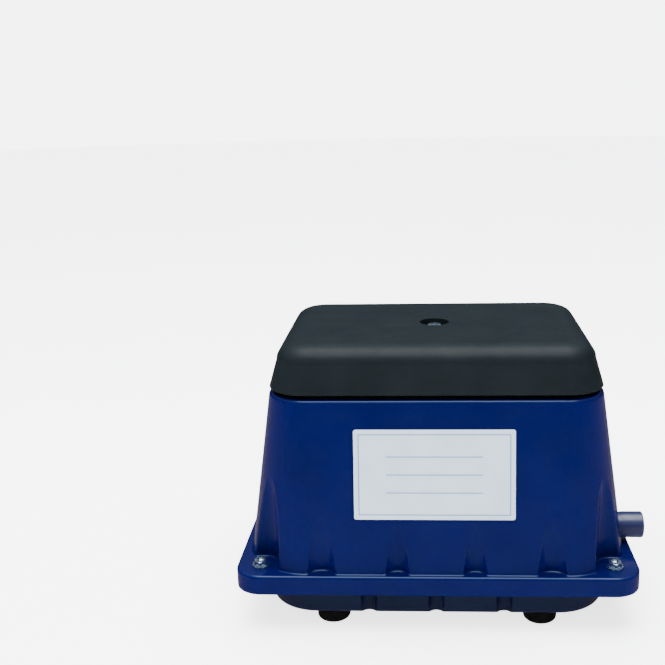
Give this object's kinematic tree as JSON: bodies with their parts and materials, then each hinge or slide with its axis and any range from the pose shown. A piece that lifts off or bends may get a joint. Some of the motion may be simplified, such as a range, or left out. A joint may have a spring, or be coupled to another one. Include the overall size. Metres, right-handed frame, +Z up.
{
  "type": "air pump",
  "caption": "Linear-motor diaphragm air pump: drafted blue casting on a flanged base, black filter cover, ribbed air tank, side hose outlet and working compressor inside.",
  "frame": {"origin": "on the floor at the centre of the four rubber feet", "axes": "+X along the pump towards the hose outlet, -Y towards the labelled front, +Z up"},
  "size_m": [0.2775, 0.2075, 0.1864],
  "materials": {
    "casing_paint": "glossy dark blue enamel on a die casting",
    "tank_paint": "dark blue enamel on a die casting",
    "cover_plastic": "satin black moulded plastic",
    "black_rubber": "matt black rubber",
    "gasket_rubber": "matt dark sheet rubber",
    "plate_steel": "bright zinc plated sheet",
    "bright_zinc": "bright zinc plating",
    "filter_foam": "open-cell charcoal foam",
    "gland_plastic": "black nylon",
    "label_film": "pale satin film",
    "cast_aluminium": "as-cast aluminium",
    "carrier_aluminium": "machined aluminium",
    "magnet_metal": "ground ceramic magnet",
    "lamination_iron": "stacked silicon-steel laminations",
    "copper_wire": "enamelled copper wire",
    "former_plastic": "natural nylon",
    "terminal_plastic": "ivory nylon",
    "diaphragm_rubber": "moulded synthetic rubber",
    "hose_rubber": "extruded black rubber"
  },
  "bodies": {
    "casing": {"blank_label": "label_film", "bobbin_back": "former_plastic", "bobbin_front": "former_plastic", "cable_gland": "gland_plastic", "core_back": "lamination_iron", "core_front": "lamination_iron", "core_screws": "bright_zinc", "corner_bolts": "bright_zinc", "cover_pads": "black_rubber", "diaphragm_left": "diaphragm_rubber", "diaphragm_right": "diaphragm_rubber", "filter_pad": "filter_foam", "flap_keepers": "former_plastic", "foot_screws": "bright_zinc", "gland_nut": "gland_plastic", "head_cover_left": "cast_aluminium", "head_cover_right": "cast_aluminium", "head_gaskets": "gasket_rubber", "head_left": "cast_aluminium", "head_right": "cast_aluminium", "head_screws": "bright_zinc", "hose_clips": "bright_zinc", "hose_left": "hose_rubber", "hose_right": "hose_rubber", "lock_washers": "bright_zinc", "lower_tank": "tank_paint", "mount_screws": "bright_zinc", "outlet_pipe": "casing_paint", "outlet_screws": "bright_zinc", "outlet_seal": "gasket_rubber", "plain_washers": "bright_zinc", "pump_frame": "cast_aluminium", "rubber_feet": "black_rubber", "tank_gasket": "gasket_rubber", "tank_plate": "plate_steel", "terminal_block": "terminal_plastic", "terminal_screws": "bright_zinc", "upper_housing": "casing_paint", "vibration_mounts": "black_rubber", "winding_back": "copper_wire", "winding_front": "copper_wire"},
    "cover": {"filter_cover": "cover_plastic", "cover_washer": "black_rubber"},
    "cover_screw": {"cover_screw": "bright_zinc"},
    "shuttle": {"shuttle": "carrier_aluminium", "magnets": "magnet_metal", "diaphragm_plates": "carrier_aluminium", "shaft_nuts": "bright_zinc"},
    "intake_valve_right": {"intake_flap_right": "diaphragm_rubber"},
    "exhaust_valve_right": {"exhaust_flap_right": "diaphragm_rubber"},
    "intake_valve_left": {"intake_flap_left": "diaphragm_rubber"},
    "exhaust_valve_left": {"exhaust_flap_left": "diaphragm_rubber"}
  },
  "joints": [
    {"name": "shuttle_slide", "type": "slide", "parent": "casing", "child": "shuttle", "axis": [1, 0, 0], "range_m": [-0.003, 0.003], "stiffness_N_per_m": 8000, "deforming": ["diaphragm_right", "diaphragm_left"]},
    {"name": "intake_valve_right_swing", "type": "hinge", "parent": "casing", "child": "intake_valve_right", "pos_m": [0.0827, 0, 0.1155], "axis": [0, 1, 0], "range_deg": [0, 10]},
    {"name": "exhaust_valve_right_swing", "type": "hinge", "parent": "casing", "child": "exhaust_valve_right", "pos_m": [0.0893, 0, 0.0835], "axis": [0, -1, 0], "range_deg": [0, 10]},
    {"name": "intake_valve_left_swing", "type": "hinge", "parent": "casing", "child": "intake_valve_left", "pos_m": [-0.0827, 0, 0.1155], "axis": [0, -1, 0], "range_deg": [0, 10]},
    {"name": "exhaust_valve_left_swing", "type": "hinge", "parent": "casing", "child": "exhaust_valve_left", "pos_m": [-0.0893, 0, 0.0835], "axis": [0, 1, 0], "range_deg": [0, 10]},
    {"name": "cover_lift", "type": "slide", "parent": "casing", "child": "cover", "axis": [0, 0, 1], "range_m": [0, 0.06]},
    {"name": "cover_screw_turn", "type": "hinge", "parent": "cover", "child": "cover_screw", "pos_m": [0, 0, 0.18], "axis": [0, 0, 1], "continuous": true}
  ]
}
